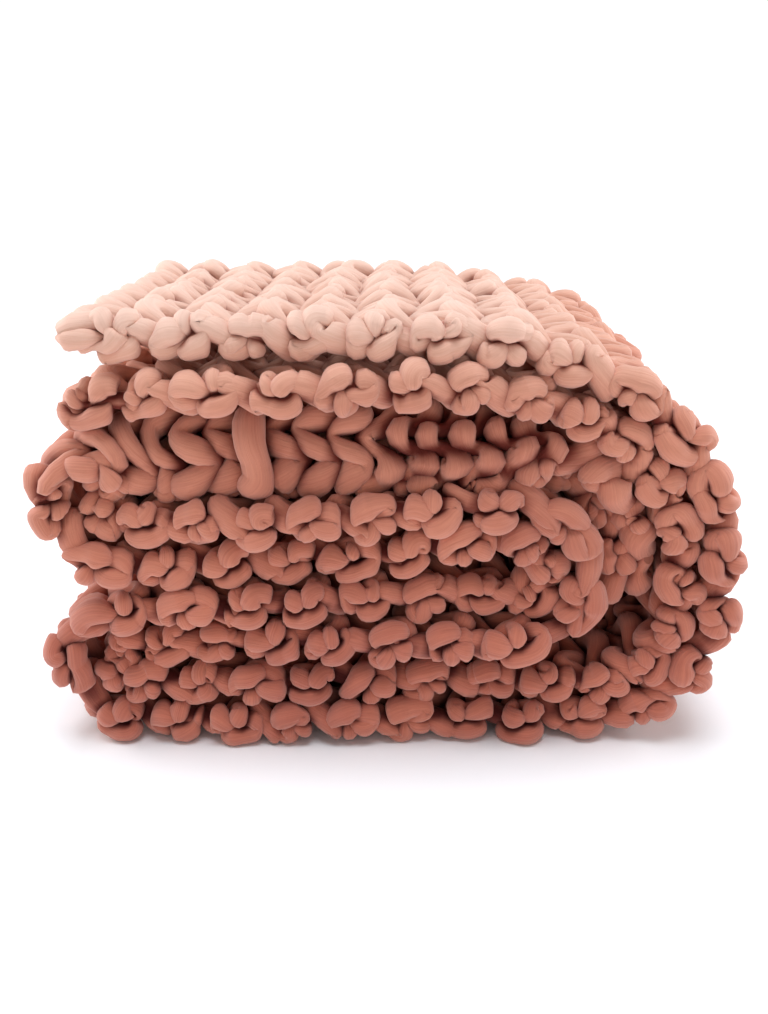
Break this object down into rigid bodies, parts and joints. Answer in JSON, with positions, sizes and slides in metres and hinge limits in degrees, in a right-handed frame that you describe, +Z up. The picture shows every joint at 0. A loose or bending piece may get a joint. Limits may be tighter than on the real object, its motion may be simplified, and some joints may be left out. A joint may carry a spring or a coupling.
{
  "type": "folded knit throw",
  "caption": "Chunky garter-stitch knitted throw, doubled lengthwise and folded back and forth into a stack that rests flat on a surface.",
  "frame": {"origin": "under the middle of the stack, on the surface that it rests on", "axes": "+X along the stack's width to the right, +Y from the knitted edges at the front to the fold at the back, +Z up"},
  "size_m": [0.522, 0.4062, 0.3327],
  "materials": {
    "yarn": "matt, soft, thick unspun wool, slightly fuzzy"
  },
  "bodies": {
    "root": {"knit_throw": "yarn"}
  },
  "joints": []
}
